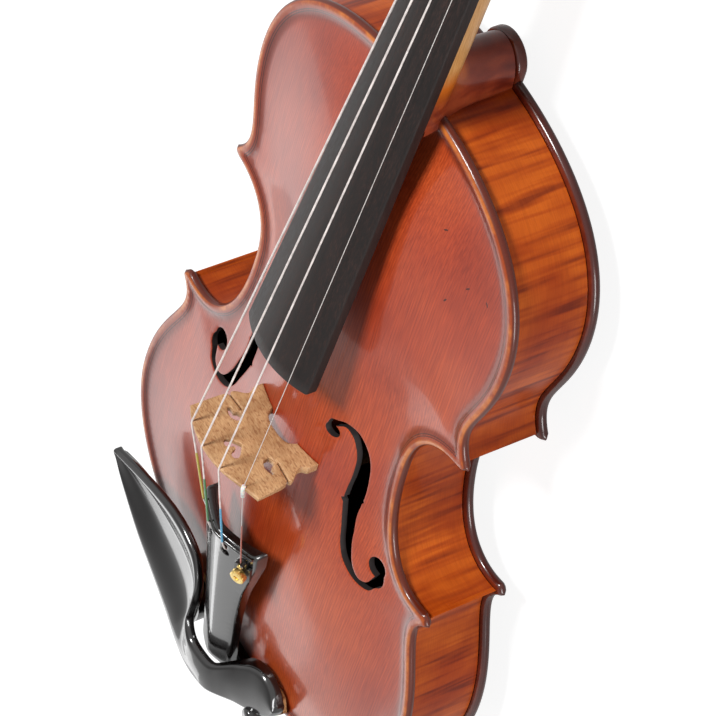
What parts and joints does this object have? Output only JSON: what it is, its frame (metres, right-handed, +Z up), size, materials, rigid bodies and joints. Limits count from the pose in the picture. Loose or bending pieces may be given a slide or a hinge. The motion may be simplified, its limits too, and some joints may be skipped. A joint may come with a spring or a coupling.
{
  "type": "violin with chin rest",
  "caption": "Full-size violin lying on its back, with arched plates, scroll, pegs, bridge, tailpiece, clamped chin rest and a fine tuner on the thinnest string.",
  "frame": {"origin": "centre of the bounding box on the plane on which the back arch and the back of the scroll rest", "axes": "+Z up out of the top plate, +Y from the tail towards the scroll, +X towards the treble side"},
  "size_m": [0.2054, 0.598, 0.0943],
  "materials": {
    "varnished_spruce": "glossy reddish-brown varnish over spruce",
    "varnished_maple_back": "glossy reddish-brown varnish over flamed maple",
    "varnished_maple_ribs": "glossy orange-amber varnish over flamed maple",
    "varnished_maple_neck": "amber varnished maple, satin on the neck",
    "bare_maple": "bare flecked maple",
    "bare_spruce": "bare spruce inside the body",
    "ebony": "polished ebony",
    "steel": "bright flat-wound steel",
    "string_wrap": "string ends wound round the pegs",
    "gilt": "bright gold plate",
    "black_steel": "black lacquered steel",
    "cork": "cork sheet",
    "cord": "black nylon cord",
    "sleeve": "white plastic tube"
  },
  "bodies": {
    "violin": {"top_plate": "varnished_spruce", "back_plate": "varnished_maple_back", "neck_and_scroll": "varnished_maple_neck", "bridge": "bare_maple", "tailgut": "cord", "e_string_sleeve": "sleeve", "bass_bar": "bare_spruce", "sound_post": "bare_spruce", "bottom_block": "bare_spruce", "top_block": "bare_spruce", "fingerboard": "ebony", "nut": "ebony", "saddle": "ebony", "end_button": "ebony", "tailpiece": "ebony", "tailpiece_fret": "ebony", "chinrest": "ebony", "chinrest_cork_bass": "cork", "chinrest_cork_treble": "cork", "tuner_bracket": "black_steel", "g_string": "steel", "d_string": "steel", "a_string": "steel", "e_string": "steel", "lower_rib_treble": "varnished_maple_ribs", "waist_rib_treble": "varnished_maple_ribs", "upper_rib_treble": "varnished_maple_ribs", "corner_block_lower_treble": "bare_spruce", "lower_top_lining_treble": "bare_spruce", "lower_back_lining_treble": "bare_spruce", "corner_block_upper_treble": "bare_spruce", "upper_top_lining_treble": "bare_spruce", "upper_back_lining_treble": "bare_spruce", "clamp_post_treble": "gilt", "lower_rib_bass": "varnished_maple_ribs", "waist_rib_bass": "varnished_maple_ribs", "upper_rib_bass": "varnished_maple_ribs", "corner_block_lower_bass": "bare_spruce", "lower_top_lining_bass": "bare_spruce", "lower_back_lining_bass": "bare_spruce", "corner_block_upper_bass": "bare_spruce", "upper_top_lining_bass": "bare_spruce", "upper_back_lining_bass": "bare_spruce", "clamp_post_bass": "gilt"},
    "g_peg_and_turns": {"g_peg": "ebony", "g_winding": "string_wrap"},
    "d_peg_and_turns": {"d_peg": "ebony", "d_winding": "string_wrap"},
    "a_peg_and_turns": {"a_peg": "ebony", "a_winding": "string_wrap"},
    "e_peg_and_turns": {"e_peg": "ebony", "e_winding": "string_wrap"},
    "tuner_screw_body": {"tuner_screw": "gilt"},
    "tuner_knob_body": {"tuner_knob": "gilt"},
    "tuner_lever_body": {"tuner_lever": "black_steel", "e_string_ball": "gilt"},
    "barrel_treble": {"clamp_barrel_treble": "gilt"},
    "barrel_bass": {"clamp_barrel_bass": "gilt"},
    "clamp_foot_body": {"clamp_foot": "gilt", "clamp_foot_cork": "cork"}
  },
  "joints": [
    {"name": "peg_g_turn", "type": "hinge", "parent": "violin", "child": "g_peg_and_turns", "pos_m": [0, 0.20913, 0.03166], "axis": [-1, 0, 0], "continuous": true},
    {"name": "peg_d_turn", "type": "hinge", "parent": "violin", "child": "d_peg_and_turns", "pos_m": [0, 0.23607, 0.02531], "axis": [-1, 0, 0], "continuous": true},
    {"name": "peg_a_turn", "type": "hinge", "parent": "violin", "child": "a_peg_and_turns", "pos_m": [0, 0.24953, 0.0218], "axis": [1, 0, 0], "continuous": true},
    {"name": "peg_e_turn", "type": "hinge", "parent": "violin", "child": "e_peg_and_turns", "pos_m": [0, 0.22259, 0.02837], "axis": [1, 0, 0], "continuous": true},
    {"name": "tuner_screw_travel", "type": "slide", "parent": "violin", "child": "tuner_screw_body", "axis": [0.3844, -0.1391, 0.9126], "range_m": [-0.0006, 0.0006]},
    {"name": "tuner_knob_turn", "type": "hinge", "parent": "tuner_screw_body", "child": "tuner_knob_body", "pos_m": [0.01598, -0.19762, 0.0758], "axis": [0.3844, -0.1391, 0.9126], "range_deg": [-541, 541]},
    {"name": "tuner_lever_tilt", "type": "hinge", "parent": "violin", "child": "tuner_lever_body", "pos_m": [0.01327, -0.19002, 0.07037], "axis": [0.9232, 0.0579, -0.38], "range_deg": [-5.3, 5.3]},
    {"name": "clamp_foot_travel", "type": "slide", "parent": "violin", "child": "clamp_foot_body", "axis": [0, -0.0095, -1], "range_m": [0, 0.004]},
    {"name": "clamp_barrel_treble_turn", "type": "hinge", "parent": "violin", "child": "barrel_treble", "pos_m": [0.031, -0.29439, 0.0225], "axis": [0, 0.0095, 1], "range_deg": [0, 721]},
    {"name": "clamp_barrel_bass_turn", "type": "hinge", "parent": "violin", "child": "barrel_bass", "pos_m": [-0.031, -0.29439, 0.0225], "axis": [0, 0.0095, 1], "range_deg": [0, 721]}
  ],
  "couplings": [
    {"joint": "tuner_knob_turn", "follows": "tuner_screw_travel", "rad_per_m": 15708},
    {"joint": "tuner_lever_tilt", "follows": "tuner_screw_travel", "rad_per_m": -149.25},
    {"joint": "clamp_barrel_treble_turn", "follows": "clamp_foot_travel", "rad_per_m": 3141.6},
    {"joint": "clamp_barrel_bass_turn", "follows": "clamp_foot_travel", "rad_per_m": 3141.6}
  ]
}
